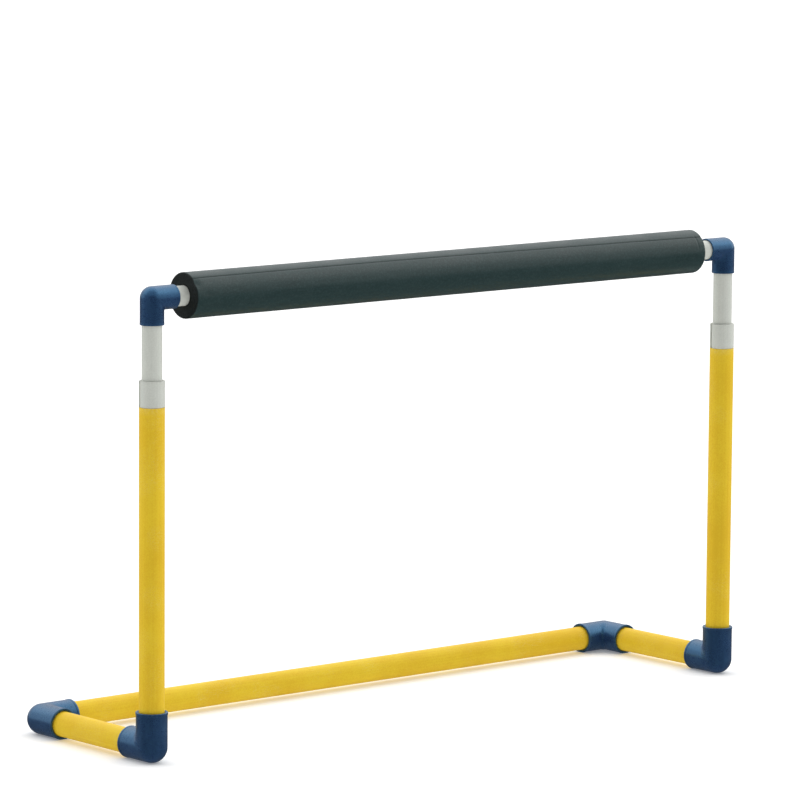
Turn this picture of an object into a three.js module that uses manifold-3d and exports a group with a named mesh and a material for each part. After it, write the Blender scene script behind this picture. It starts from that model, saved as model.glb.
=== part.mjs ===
// Height-adjustable jump bar: a U-shaped floor frame of plastic tube and push-on elbows, two
// uprights, and a foam-padded crossbar on two posts that telescope in the uprights. A split
// collar grips each post and stands on its upright's rim.
//
// Units are millimetres and +Z is up. The bar runs along X. The uprights stand at the front
// (-Y) and the floor frame reaches back (+Y). The origin is on the floor, under the middle of
// the whole object.

import * as THREE from 'three';
import { mergeVertices } from 'three/addons/utils/BufferGeometryUtils.js';
import Module from 'manifold-3d';

const wasm = await Module();
wasm.setup();

// ---------------------------------------------------------------- driving dimensions

const INCH = 25.4;

// lengths of the tubes that are cut to size
const REAR_TUBE_LENGTH = 48 * INCH;
const SIDE_TUBE_LENGTH = 250;
const UPRIGHT_LENGTH = 21 * INCH;

// frame tube, 1-1/4 in nominal
const TUBE_OUTER = 42.2;
const TUBE_WALL = 3.56;

// post and crossbar tube, 1 in nominal: it slides in the frame tube
const SLIDE_GAP = 0.84; // radial, between a post and the bore of its upright
const POST_WALL = 3.38;
const POST_SHOWING = 90; // from the collar's top to the top elbow's rim, at the lowest setting

// collar, as wide as the frame tube that it stands on
const COLLAR_HEIGHT = 43;
const COLLAR_CHAMFER = 1;
const COLLAR_SLIT = 5.5;
const COLLAR_SLIT_TURN = 160; // degrees from +X

// plug in the foot of each post
const PLUG_FLANGE = 5;
const PLUG_STEM = 22;
const PLUG_WALL = 3;
const PLUG_RUNNING_GAP = 0.35; // radial, between the flange and the bore of the upright

// elbows: the wall round the socket, the socket's depth and its seat's distance from the corner,
// how far the ledge between the sockets stands in from the tube's bore, the lip that stands out
// at each mouth, and the lead-in chamfer inside it
const FRAME_ELBOW = {
  wall: 4.6, depth: 34.5, seat: 23.8, ledge: 1.5, lip: 0.6, lipLength: 4, chamfer: 2,
};
const TOP_ELBOW = {
  wall: 2.8, depth: 25.8, seat: 17.2, ledge: 0.8, lip: 0.2, lipLength: 3, chamfer: 1.2,
};
const FOOT_FLAT = 0.3; // depth of the flat that a floor elbow stands on, cut into its body

// foam sleeve on the crossbar
const FOAM_THICKNESS = 21;
const FOAM_EDGE = 2;
const BARE_LEFT = 20; // crossbar showing between the pad and the left top elbow
const BARE_RIGHT = 35;

// fits
const FIT_GAP = 0.3; // between any two pieces that touch
const ROUND_SIDES = 32; // sides of a round; a multiple of four

// ---------------------------------------------------------------- derived sizes and places

const tubeRadius = TUBE_OUTER / 2;
const tubeBore = tubeRadius - TUBE_WALL;
const postRadius = tubeBore - SLIDE_GAP;
const postBore = postRadius - POST_WALL;
const frameElbow = elbowSizes(FRAME_ELBOW, tubeRadius, tubeBore);
const topElbow = elbowSizes(TOP_ELBOW, postRadius, postBore);
const foamRadius = postRadius + FIT_GAP + FOAM_THICKNESS;

// axis to axis, between tubes that a seated tube of the given length joins
const seatedSpan = (length, elbow) => length + 2 * (elbow.seat + FIT_GAP);

const halfWidth = seatedSpan(REAR_TUBE_LENGTH, frameElbow) / 2;
const depth = seatedSpan(SIDE_TUBE_LENGTH, frameElbow);
const frontReach = Math.max(foamRadius, frameElbow.rim);
const uprightY = (frontReach - frameElbow.rim - depth) / 2;
const rearY = uprightY + depth;

const baseZ = frameElbow.body - FOOT_FLAT;
const plugZ = baseZ + frameElbow.seat + FIT_GAP;
const postZ = plugZ + PLUG_FLANGE + FIT_GAP;
const uprightZ = baseZ + frameElbow.seat + FIT_GAP;
const collarZ = uprightZ + UPRIGHT_LENGTH + FIT_GAP;
const barZ = collarZ + COLLAR_HEIGHT + POST_SHOWING + topElbow.reach;
const postLength = barZ - topElbow.seat - FIT_GAP - postZ;
const crossbarLength = 2 * (halfWidth - topElbow.seat - FIT_GAP);

// ---------------------------------------------------------------- materials

const finishes = {
  yellow: { color: 0xe3c12f, roughness: 0.42, metalness: 0 },
  white: { color: 0xd7d9d4, roughness: 0.45, metalness: 0 },
  blue: { color: 0x1f4f86, roughness: 0.35, metalness: 0 },
  foam: { color: 0x2b3434, roughness: 0.8, metalness: 0 },
  plug: { color: 0x26282a, roughness: 0.6, metalness: 0 },
};

// ---------------------------------------------------------------- directions

const X = new THREE.Vector3(1, 0, 0);
const Y = new THREE.Vector3(0, 1, 0);
const Z = new THREE.Vector3(0, 0, 1);
const reversed = (direction) => direction.clone().negate();

// ---------------------------------------------------------------- geometry helpers

// a round solid about +Z from a closed outline of [radius, height] points, anticlockwise
function turned(outline) {
  const points = [...outline, outline[0]].map(([radius, height]) => new THREE.Vector2(radius, height));
  return new THREE.LatheGeometry(points, ROUND_SIDES).rotateX(Math.PI / 2);
}

// a pipe about +Z that starts at height zero
function pipe(outer, bore, length) {
  return turned([[bore, 0], [outer, 0], [outer, length], [bore, length]]);
}

function solidOf(geometry) {
  const bare = geometry.clone();
  bare.deleteAttribute('normal');
  bare.deleteAttribute('uv');
  const merged = mergeVertices(bare);
  const mesh = new wasm.Mesh({
    numProp: 3,
    vertProperties: new Float32Array(merged.attributes.position.array),
    triVerts: new Uint32Array(merged.index.array),
  });
  mesh.merge();
  return new wasm.Manifold(mesh);
}

function geometryOf(solid) {
  const mesh = solid.getMesh();
  const geometry = new THREE.BufferGeometry();
  geometry.setAttribute('position', new THREE.BufferAttribute(mesh.vertProperties, 3));
  geometry.setIndex(new THREE.BufferAttribute(mesh.triVerts, 1));
  geometry.computeVertexNormals();
  return geometry;
}

// turns a geometry made about +Z so that its +Z points along the given direction
function along(geometry, direction) {
  const turn = new THREE.Quaternion().setFromUnitVectors(Z, direction);
  return geometry.applyQuaternion(turn);
}

// ---------------------------------------------------------------- sub-parts

// the radii and lengths of an elbow that takes a tube of the given outer radius and bore
function elbowSizes(elbow, radius, bore) {
  const socket = radius + FIT_GAP;
  const body = socket + elbow.wall;
  return {
    ...elbow,
    socket,
    body,
    rim: body + elbow.lip,
    passage: bore - elbow.ledge,
    reach: elbow.seat + elbow.depth,
  };
}

// the outside of one leg about +Z, from the corner at zero to its mouth, with a lip at the mouth
function legOutline(elbow) {
  return [
    [elbow.body, 0],
    [elbow.body, elbow.reach - elbow.lipLength - elbow.lip],
    [elbow.rim, elbow.reach - elbow.lipLength],
    [elbow.rim, elbow.reach - elbow.lip],
    [elbow.body, elbow.reach],
    [0, elbow.reach],
  ];
}

// one leg with a flat end at the corner
function straightLeg(elbow) {
  return turned([[0, 0], ...legOutline(elbow)]);
}

// one leg with half a ball at the corner, whose steps match the sides of the other leg
function balledLeg(elbow) {
  const steps = ROUND_SIDES / 4;
  const ball = Array.from({ length: steps }, (_, step) => {
    const angle = (step / steps) * (Math.PI / 2);
    return [elbow.body * Math.sin(angle), -elbow.body * Math.cos(angle)];
  });
  return turned([...ball, ...legOutline(elbow)]);
}

// the hollow of one leg: the passage, the socket that the tube seats in, and the mouth's chamfer
function legHollow(elbow, start) {
  return turned([
    [0, start],
    [elbow.passage, start],
    [elbow.passage, elbow.seat],
    [elbow.socket, elbow.seat],
    [elbow.socket, elbow.reach - elbow.chamfer],
    [elbow.socket + 2 * elbow.chamfer, elbow.reach + elbow.chamfer],
    [0, elbow.reach + elbow.chamfer],
  ]);
}

// an elbow with its corner at the origin and its legs along +X and +Y; down, where it is given,
// is the side that has the flat it stands on
function elbowGeometry(elbow, down) {
  const outside = solidOf(along(balledLeg(elbow), X)).add(solidOf(along(straightLeg(elbow), Y)));
  const hollow = solidOf(along(legHollow(elbow, -elbow.passage), X))
    .add(solidOf(along(legHollow(elbow, 0), Y)));
  const shell = outside.subtract(hollow);
  if (!down) {
    return geometryOf(shell);
  }
  const side = 4 * elbow.reach;
  const floor = new THREE.BoxGeometry(side, side, side);
  const drop = down.clone().multiplyScalar(side / 2 + elbow.body - FOOT_FLAT);
  floor.translate(drop.x, drop.y, drop.z);
  return geometryOf(shell.subtract(solidOf(floor)));
}

function collarGeometry() {
  const bore = postRadius + FIT_GAP;
  const ring = turned([
    [bore, 0],
    [tubeRadius - COLLAR_CHAMFER, 0],
    [tubeRadius, COLLAR_CHAMFER],
    [tubeRadius, COLLAR_HEIGHT - COLLAR_CHAMFER],
    [tubeRadius - COLLAR_CHAMFER, COLLAR_HEIGHT],
    [bore, COLLAR_HEIGHT],
  ]);
  const slit = new THREE.BoxGeometry(TUBE_OUTER, COLLAR_SLIT, 2 * COLLAR_HEIGHT);
  slit.translate(TUBE_OUTER / 2, 0, COLLAR_HEIGHT / 2);
  slit.rotateZ(THREE.MathUtils.degToRad(COLLAR_SLIT_TURN));
  return geometryOf(solidOf(ring).subtract(solidOf(slit)));
}

// a flange under the post's foot and a hollow stem inside it, open at the top
function plugGeometry() {
  const flange = tubeBore - PLUG_RUNNING_GAP;
  const stem = postBore - FIT_GAP;
  const top = PLUG_FLANGE + PLUG_STEM;
  return turned([
    [0, 0],
    [flange, 0],
    [flange, PLUG_FLANGE],
    [stem, PLUG_FLANGE],
    [stem, top],
    [stem - PLUG_WALL, top],
    [stem - PLUG_WALL, PLUG_FLANGE],
    [0, PLUG_FLANGE],
  ]);
}

function foamGeometry(length) {
  const bore = postRadius + FIT_GAP;
  return turned([
    [bore, 0],
    [foamRadius - FOAM_EDGE, 0],
    [foamRadius, FOAM_EDGE],
    [foamRadius, length - FOAM_EDGE],
    [foamRadius - FOAM_EDGE, length],
    [bore, length],
  ]);
}

// ---------------------------------------------------------------- assembly

const group = new THREE.Group();

function place(name, geometry, finish, position) {
  const mesh = new THREE.Mesh(geometry, new THREE.MeshStandardMaterial(finishes[finish]));
  mesh.name = name;
  mesh.position.copy(position);
  group.add(mesh);
  return mesh;
}

// places an elbow whose two legs point along the given directions
function placeElbow(name, geometry, position, firstLeg, secondLeg) {
  const mesh = place(name, geometry, 'blue', position);
  const third = new THREE.Vector3().crossVectors(firstLeg, secondLeg);
  mesh.quaternion.setFromRotationMatrix(new THREE.Matrix4().makeBasis(firstLeg, secondLeg, third));
}

// the floor frame and one upright on each side
function addFrame() {
  const tubeStart = frameElbow.seat + FIT_GAP;
  const rearTube = along(pipe(tubeRadius, tubeBore, REAR_TUBE_LENGTH), X);
  place('rear_base_tube', rearTube, 'yellow', new THREE.Vector3(tubeStart - halfWidth, rearY, baseZ));
  for (const [name, side] of [['left', -1], ['right', 1]]) {
    const x = side * halfWidth;
    const sideTube = along(pipe(tubeRadius, tubeBore, SIDE_TUBE_LENGTH), Y);
    place(`${name}_side_tube`, sideTube, 'yellow', new THREE.Vector3(x, uprightY + tubeStart, baseZ));
    const upright = pipe(tubeRadius, tubeBore, UPRIGHT_LENGTH);
    place(`${name}_upright_tube`, upright, 'yellow', new THREE.Vector3(x, uprightY, uprightZ));
    const front = new THREE.Vector3(x, uprightY, baseZ);
    placeElbow(`${name}_front_elbow`, elbowGeometry(frameElbow, reversed(X)), front, Z, Y);
    const rear = new THREE.Vector3(x, rearY, baseZ);
    const legs = side < 0 ? [reversed(Y), X] : [reversed(X), reversed(Y)];
    placeElbow(`${name}_rear_elbow`, elbowGeometry(frameElbow, reversed(Z)), rear, ...legs);
  }
}

// the collars that stand on the uprights
function addCollars() {
  for (const [name, side] of [['left', -1], ['right', 1]]) {
    const seat = new THREE.Vector3(side * halfWidth, uprightY, collarZ);
    place(`${name}_collar`, collarGeometry(), 'white', seat);
  }
}

// everything that rises together: posts, plugs, top elbows, crossbar and pad
function addBar() {
  for (const [name, side] of [['left', -1], ['right', 1]]) {
    const x = side * halfWidth;
    place(`${name}_post_foot_plug`, plugGeometry(), 'plug', new THREE.Vector3(x, uprightY, plugZ));
    const post = pipe(postRadius, postBore, postLength);
    place(`${name}_post`, post, 'white', new THREE.Vector3(x, uprightY, postZ));
    const corner = new THREE.Vector3(x, uprightY, barZ);
    const inward = X.clone().multiplyScalar(-side);
    placeElbow(`${name}_top_elbow`, elbowGeometry(topElbow), corner, reversed(Z), inward);
  }
  const crossbar = along(pipe(postRadius, postBore, crossbarLength), X);
  place('crossbar_tube', crossbar, 'white', new THREE.Vector3(-crossbarLength / 2, uprightY, barZ));
  const foamStart = topElbow.reach - halfWidth + BARE_LEFT;
  const foamEnd = halfWidth - topElbow.reach - BARE_RIGHT;
  const foam = along(foamGeometry(foamEnd - foamStart), X);
  place('foam_pad', foam, 'foam', new THREE.Vector3(foamStart, uprightY, barZ));
}

addFrame();
addCollars();
addBar();

export default group;
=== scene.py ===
"""Looks of an adjustable jump bar.

A U-shaped floor frame of plastic tube and push-on elbows carries two uprights. A foam-padded
crossbar stands on two posts that slide in the uprights, and a split collar grips each post. Every
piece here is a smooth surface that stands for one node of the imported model, in metres and in that
model's frame: the bar runs along X, the uprights stand at the front (-Y) and +Z is up.
"""

from __future__ import annotations

import logging
import math
from dataclasses import dataclass, field
from enum import Enum

import bpy
import numpy as np
from mathutils import Matrix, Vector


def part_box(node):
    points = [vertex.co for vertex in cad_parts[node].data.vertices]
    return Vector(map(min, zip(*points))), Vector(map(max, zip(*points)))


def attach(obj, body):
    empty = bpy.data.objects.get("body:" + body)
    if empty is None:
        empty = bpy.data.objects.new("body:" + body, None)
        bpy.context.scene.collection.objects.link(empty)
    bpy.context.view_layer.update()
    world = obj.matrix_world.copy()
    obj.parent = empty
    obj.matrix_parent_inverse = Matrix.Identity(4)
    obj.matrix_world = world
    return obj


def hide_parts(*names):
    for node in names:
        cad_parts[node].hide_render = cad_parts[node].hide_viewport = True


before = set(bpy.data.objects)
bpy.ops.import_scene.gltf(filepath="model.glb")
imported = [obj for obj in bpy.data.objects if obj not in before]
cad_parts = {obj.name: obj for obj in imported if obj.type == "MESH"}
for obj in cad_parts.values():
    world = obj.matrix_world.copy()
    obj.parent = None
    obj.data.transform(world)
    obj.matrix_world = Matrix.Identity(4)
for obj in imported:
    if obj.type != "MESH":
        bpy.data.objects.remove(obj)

LOG = logging.getLogger("jump_bar")
MM = 0.001
Array = np.ndarray
Colour = tuple[float, float, float]
Socket = bpy.types.NodeSocket

ARC_STEPS = 5  # the steps of an outline's rounded corner
SUPPORT = 0.35 * MM  # how close to a rounded corner a side has its first point
MIX_COLOURS = (6, 7)  # the two colour inputs of a Mix node
MIX_RESULT = 2  # its colour output
MIDDLE = 0.5  # the middle of a layer's values
WHITE_LIGHT = (1.0, 1.0, 1.0, 1.0)


# ------------------------------------------------------------------------------ named options


class Side(Enum):
    """One end of the bar."""

    LEFT = -1
    RIGHT = 1

    @property
    def word(self) -> str:
        """The side's name as the nodes spell it."""
        return self.name.lower()


class Direction(Enum):
    """A direction of the shared frame."""

    RIGHTWARD = (1.0, 0.0, 0.0)
    LEFTWARD = (-1.0, 0.0, 0.0)
    BACK = (0.0, 1.0, 0.0)
    FRONT = (0.0, -1.0, 0.0)
    UP = (0.0, 0.0, 1.0)
    DOWN = (0.0, 0.0, -1.0)

    @property
    def vector(self) -> Array:
        """The direction as three numbers."""
        return np.array(self.value)


class Body(Enum):
    """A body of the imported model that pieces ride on."""

    FRAME = "frame"
    BAR = "bar"
    LEFT_COLLAR = "left_collar"
    RIGHT_COLLAR = "right_collar"


class Slot(Enum):
    """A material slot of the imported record."""

    YELLOW_TUBE = "yellow_tube"
    WHITE_TUBE = "white_tube"
    BLUE_ELBOW = "blue_elbow"
    DARK_FOAM = "dark_foam"
    BLACK_PLUG = "black_plug"


class Mark(Enum):
    """A value kept at each point of a mesh for its material to read."""

    FLOW = "flow"
    WEAR = "wear"
    SEAM = "seam"
    CUT = "cut"


# ------------------------------------------------------------------------------ surfaces


@dataclass
class Skin:
    """A surface on a grid of rows and columns.

    The columns always close on themselves. The rows close too, or else the first and the last row
    are each filled with one flat face.
    """

    points: Array
    marks: dict[Mark, Array] = field(default_factory=dict)
    closed_rows: bool = True

    def faces(self) -> list[list[int]]:
        """Lists the corners of every face.

        Point (i, j) has number i times the columns plus j, and each face joins (i, j), (i, j + 1),
        (i + 1, j + 1) and (i + 1, j).

        Returns:
            The corner numbers of the faces, all facing the same way.
        """
        rows, columns = self.points.shape[:2]
        number = np.arange(rows * columns).reshape(rows, columns)
        across = np.roll(number, -1, axis=1)
        last = rows if self.closed_rows else rows - 1
        quads = np.stack(
            [number, across, np.roll(across, -1, axis=0), np.roll(number, -1, axis=0)], axis=-1
        )[:last].reshape(-1, 4)
        faces = quads.tolist()
        if not self.closed_rows:
            faces.append(number[0, ::-1].tolist())
            faces.append(number[-1].tolist())
        return faces

    def volume(self) -> float:
        """Sums the signed volume under the grid's faces: a third of each point times its area."""
        p = self.points
        across = np.roll(p, -1, axis=1)
        down = np.roll(p, -1, axis=0)
        corner = np.roll(across, -1, axis=0)
        normal = np.cross(corner - p, down - across)
        middle = (p + across + down + corner) / 4
        last = len(p) if self.closed_rows else len(p) - 1
        return float(np.sum((normal * middle)[:last]))

    def mesh(self, name: str) -> bpy.types.Mesh:
        """Puts the surface into a mesh, with its faces pointing outwards.

        Args:
            name: The mesh's name.

        Returns:
            A smooth-shaded mesh that holds the marks as point attributes.
        """
        faces = self.faces()
        if self.volume() < 0:
            faces = [face[::-1] for face in faces]
        mesh = bpy.data.meshes.new(name)
        mesh.from_pydata(self.points.reshape(-1, 3).tolist(), [], faces)
        mesh.polygons.foreach_set("use_smooth", np.ones(len(faces), dtype=bool))
        for mark, values in self.marks.items():
            if values.ndim == 3:
                attribute = mesh.attributes.new(mark.value, "FLOAT_VECTOR", "POINT")
                attribute.data.foreach_set("vector", values.astype(np.float32).ravel())
            else:
                attribute = mesh.attributes.new(mark.value, "FLOAT", "POINT")
                attribute.data.foreach_set("value", values.astype(np.float32).ravel())
        mesh.update()
        return mesh


@dataclass(frozen=True)
class Seat:
    """Where a piece made about its own origin goes: its first two axes and its origin."""

    origin: Array
    first: Array
    second: Array

    def placed(self, skin: Skin) -> Skin:
        """Turns a skin's own axes to the seat's and moves it to the seat's origin.

        Args:
            skin: A surface about its own origin.

        Returns:
            The same surface in the shared frame.
        """
        axes = np.stack([self.first, self.second, np.cross(self.first, self.second)])
        return Skin(skin.points @ axes + self.origin, skin.marks, skin.closed_rows)


@dataclass(frozen=True)
class NodeBox:
    """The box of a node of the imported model."""

    low: Array
    high: Array

    @classmethod
    def of(cls, node: str) -> NodeBox:
        """Reads a node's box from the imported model."""
        low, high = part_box(node)
        return cls(np.array(low), np.array(high))

    @property
    def middle(self) -> Array:
        """The box's centre."""
        return (self.low + self.high) / 2

    @property
    def size(self) -> Array:
        """The box's three sides."""
        return self.high - self.low


@dataclass(frozen=True)
class Corner:
    """One corner of an outline, and the radius that rounds it."""

    across: float
    along: float
    radius: float = 0.3 * MM


def rounded_path(corners: list[Corner], closed: bool, stride: float = 12 * MM) -> Array:
    """Rounds the corners of an outline and splits its long sides.

    An arc touches both of its sides at its radius over the tangent of half the corner's angle. Its
    points are its centre plus the radius turned evenly from one touching point to the other. Each
    side between two arcs has a point close to both of its ends, so that the shading stays flat.

    Args:
        corners: The outline's corners in order.
        closed: Whether the last corner joins the first.
        stride: The longest step along a side.

    Returns:
        The points of the outline, as (across, along) pairs.
    """
    places = np.array([[c.across, c.along] for c in corners])
    radii = np.array([c.radius for c in corners])
    back = np.roll(places, 1, axis=0) - places
    ahead = np.roll(places, -1, axis=0) - places
    back /= np.linalg.norm(back, axis=1, keepdims=True)
    ahead /= np.linalg.norm(ahead, axis=1, keepdims=True)
    half = np.arccos(np.clip(np.sum(back * ahead, axis=1), -1, 1)) / 2
    middle = (back + ahead) / np.linalg.norm(back + ahead, axis=1, keepdims=True)
    centres = places + middle * (radii / np.sin(half))[:, None]
    start = places + back * (radii / np.tan(half))[:, None] - centres
    end = places + ahead * (radii / np.tan(half))[:, None] - centres
    turn = (math.pi - 2 * half)[:, None]
    share = np.linspace(0, 1, ARC_STEPS + 1)[None, :]
    start_part = (np.sin((1 - share) * turn) / np.sin(turn))[..., None]
    end_part = (np.sin(share * turn) / np.sin(turn))[..., None]
    arcs = centres[:, None] + start_part * start[:, None] + end_part * end[:, None]
    pieces = list(arcs)
    if not closed:
        pieces[0] = places[:1]
        pieces[-1] = places[-1:]
    joined: list[Array] = []
    for index, piece in enumerate(pieces):
        joined.append(piece)
        if index == len(pieces) - 1 and not closed:
            break
        first = piece[-1]
        last = pieces[(index + 1) % len(pieces)][0]
        length = float(np.linalg.norm(last - first))
        if length > 4 * SUPPORT:
            inner = np.linspace(SUPPORT / length, 1 - SUPPORT / length, 2 + int(length / stride))
            joined.append(first + inner[:, None] * (last - first))
    return np.concatenate(joined)


def turned(outline: Array, sides: int, closed: bool = True) -> Skin:
    """Turns an outline about +Z: (across cos a, across sin a, along) for each of the angles a.

    Args:
        outline: Points as (distance from the axis, height).
        sides: How many sides the round has.
        closed: Whether the outline closes on itself.

    Returns:
        The turned surface, whose flow mark is its own place.
    """
    angle = np.linspace(0, 2 * math.pi, sides, endpoint=False)
    across = outline[:, :1]
    height = np.broadcast_to(outline[:, 1:], (len(outline), sides))
    points = np.stack([across * np.cos(angle), across * np.sin(angle), height], axis=-1)
    return Skin(points, {Mark.FLOW: points.copy()}, closed)


def smooth_step(value: Array, low: float, high: float) -> Array:
    """Rises from 0 at low to 1 at high as three times the square less twice the cube."""
    share = np.clip((value - low) / (high - low), 0, 1)
    return share * share * (3 - 2 * share)


# ------------------------------------------------------------------------------ nodes


@dataclass(frozen=True)
class Span:
    """Where a change starts and where it ends."""

    start: float
    end: float


SWING = Span(0.3, 0.7)  # where nearly all of a layer's values lie


@dataclass(frozen=True)
class Layer:
    """Soft random values: the features in a metre, the finer layers added, and their strength.

    A stretch first multiplies the place along each axis, and a turn, in degrees, then turns it.
    """

    scale: float = 1.0
    detail: float = 3.0
    rough: float = 0.5
    stretch: Colour | None = None
    turn: Colour = (0.0, 0.0, 0.0)


class Graph:
    """The nodes of one tree, made and joined by short calls."""

    def __init__(self, tree: bpy.types.NodeTree) -> None:
        """Takes a tree and empties it."""
        self.tree = tree
        self.tree.nodes.clear()

    def fill(self, socket: Socket, value: Socket | float | tuple[float, ...]) -> None:
        """Gives an input a number or a colour, or joins an output to it."""
        if isinstance(value, Socket):
            self.tree.links.new(value, socket)
        else:
            socket.default_value = value

    def add(
        self, kind: str, inputs: dict[str | int, Socket | float | tuple[float, ...]] | None = None
    ) -> bpy.types.Node:
        """Adds a node.

        Args:
            kind: The node's kind.
            inputs: What each input is given, by its name or its place.

        Returns:
            The node.
        """
        node = self.tree.nodes.new(kind)
        for key, value in (inputs or {}).items():
            self.fill(node.inputs[key], value)
        return node

    def math(self, operation: str, first: Socket, second: Socket | float = 0.0) -> Socket:
        """Works out one value from one or two others, by a Math node's operation."""
        node = self.add("ShaderNodeMath", {0: first, 1: second})
        node.operation = operation
        return node.outputs[0]

    def sum(self, first: Socket, *others: Socket | float) -> Socket:
        """Adds the others to the first value, one after another."""
        for other in others:
            first = self.math("ADD", first, other)
        return first

    def product(self, first: Socket, *others: Socket | float) -> Socket:
        """Multiplies the first value by the others, one after another."""
        for other in others:
            first = self.math("MULTIPLY", first, other)
        return first

    def band(
        self, value: Socket, span: Span, low: Socket | float = 0.0, high: Socket | float = 1.0
    ) -> Socket:
        """Turns a value smoothly from low, at the span's start, to high, at its end.

        Args:
            value: The value.
            span: Where the change starts and ends.
            low: The result up to the start.
            high: The result from the end on.

        Returns:
            The new value.
        """
        ends = {"From Min": span.start, "From Max": span.end, "To Min": low, "To Max": high}
        node = self.add("ShaderNodeMapRange", {"Value": value, **ends})
        node.interpolation_type = "SMOOTHSTEP"
        return node.outputs["Result"]

    def layer(self, where: Socket, layer: Layer) -> Socket:
        """Reads a layer of soft random values, from 0 to 1, at a place."""
        if layer.stretch is not None:
            turn = tuple(math.radians(angle) for angle in layer.turn)
            stretched = {"Vector": where, "Scale": layer.stretch, "Rotation": turn}
            where = self.add("ShaderNodeMapping", stretched).outputs["Vector"]
        finer = {"Detail": layer.detail, "Roughness": layer.rough}
        node = self.add("ShaderNodeTexNoise", {"Vector": where, "Scale": layer.scale, **finer})
        return node.outputs["Fac"]


@dataclass(frozen=True)
class Patches:
    """Soft-edged patches: a layer's values, turned to 0 at the span's start and 1 at its end."""

    layer: Layer
    span: Span

    def value(self, graph: Graph, place: Socket) -> Socket:
        """From 0 outside the patches to 1 inside them."""
        return graph.band(graph.layer(place, self.layer), self.span)


@dataclass(frozen=True)
class Scratches:
    """Hair-thin scratches in patches. One runs wherever a layer crosses its middle value."""

    across: Layer
    width: float
    patch: Patches

    def value(self, graph: Graph, place: Socket, strength: float) -> Socket:
        """The strength along a scratch's middle, falling to 0 beside it and out of its patch."""
        crossing = graph.math("ABSOLUTE", graph.sum(graph.layer(place, self.across), -MIDDLE))
        hair = graph.band(crossing, Span(0.0, self.width), 1.0, 0.0)
        return graph.product(hair, self.patch.value(graph, place), strength)


# ------------------------------------------------------------------------------ finishes


class Wiring(Graph):
    """The nodes of one material: its shader and all that feeds it."""

    def __init__(self, name: str) -> None:
        """Makes a material of a name, with only a shader and an output."""
        self.material = bpy.data.materials.new(name)
        self.material.use_nodes = True
        super().__init__(self.material.node_tree)
        self.shader = self.add("ShaderNodeBsdfPrincipled")
        self.add("ShaderNodeOutputMaterial", {"Surface": self.shader.outputs["BSDF"]})

    def shade(self, **inputs: Socket | float | tuple[float, ...]) -> None:
        """Gives the shader's own sockets numbers or outputs, named with _ for a space."""
        for name, value in inputs.items():
            self.fill(self.shader.inputs[name.replace("_", " ")], value)

    def place(self) -> Socket:
        """The point's place in its object, in metres."""
        return self.add("ShaderNodeTexCoord").outputs["Object"]

    def mark(self, mark: Mark, output: str = "Fac") -> Socket:
        """A mark kept on the mesh: one number, or three from the output Vector."""
        node = self.add("ShaderNodeAttribute")
        node.attribute_name = mark.value
        return node.outputs[output]

    def cells(self, where: Socket, scale: float) -> Socket:
        """Closed cells like a foam's, so many to a metre: the distance from each one's centre."""
        node = self.add("ShaderNodeTexVoronoi", {"Vector": where, "Scale": scale})
        node.feature = "F1"
        return node.outputs["Distance"]

    def mixed(self, share: Socket, first: Socket | Colour, second: Socket | Colour) -> Socket:
        """Mixes two colours.

        Args:
            share: How much of the second colour there is.
            first: The first colour.
            second: The second colour.

        Returns:
            The mixed colour.
        """
        node = self.add("ShaderNodeMix", {"Factor": share})
        node.data_type = "RGBA"
        for key, colour in zip(MIX_COLOURS, (first, second)):
            opaque = colour if isinstance(colour, Socket) else (*colour, 1.0)
            self.fill(node.inputs[key], opaque)
        return node.outputs[MIX_RESULT]

    def relief(self, height: Socket, depth: float, under: Socket | None = None) -> Socket:
        """Raises the surface's shading by a height.

        Args:
            height: The height, from 0 to 1.
            depth: What a height of 1 is in metres.
            under: The relief that this one lies on.

        Returns:
            The normal.
        """
        node = self.add("ShaderNodeBump", {"Height": height, "Distance": depth})
        if under is not None:
            self.fill(node.inputs["Normal"], under)
        return node.outputs["Normal"]


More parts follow.
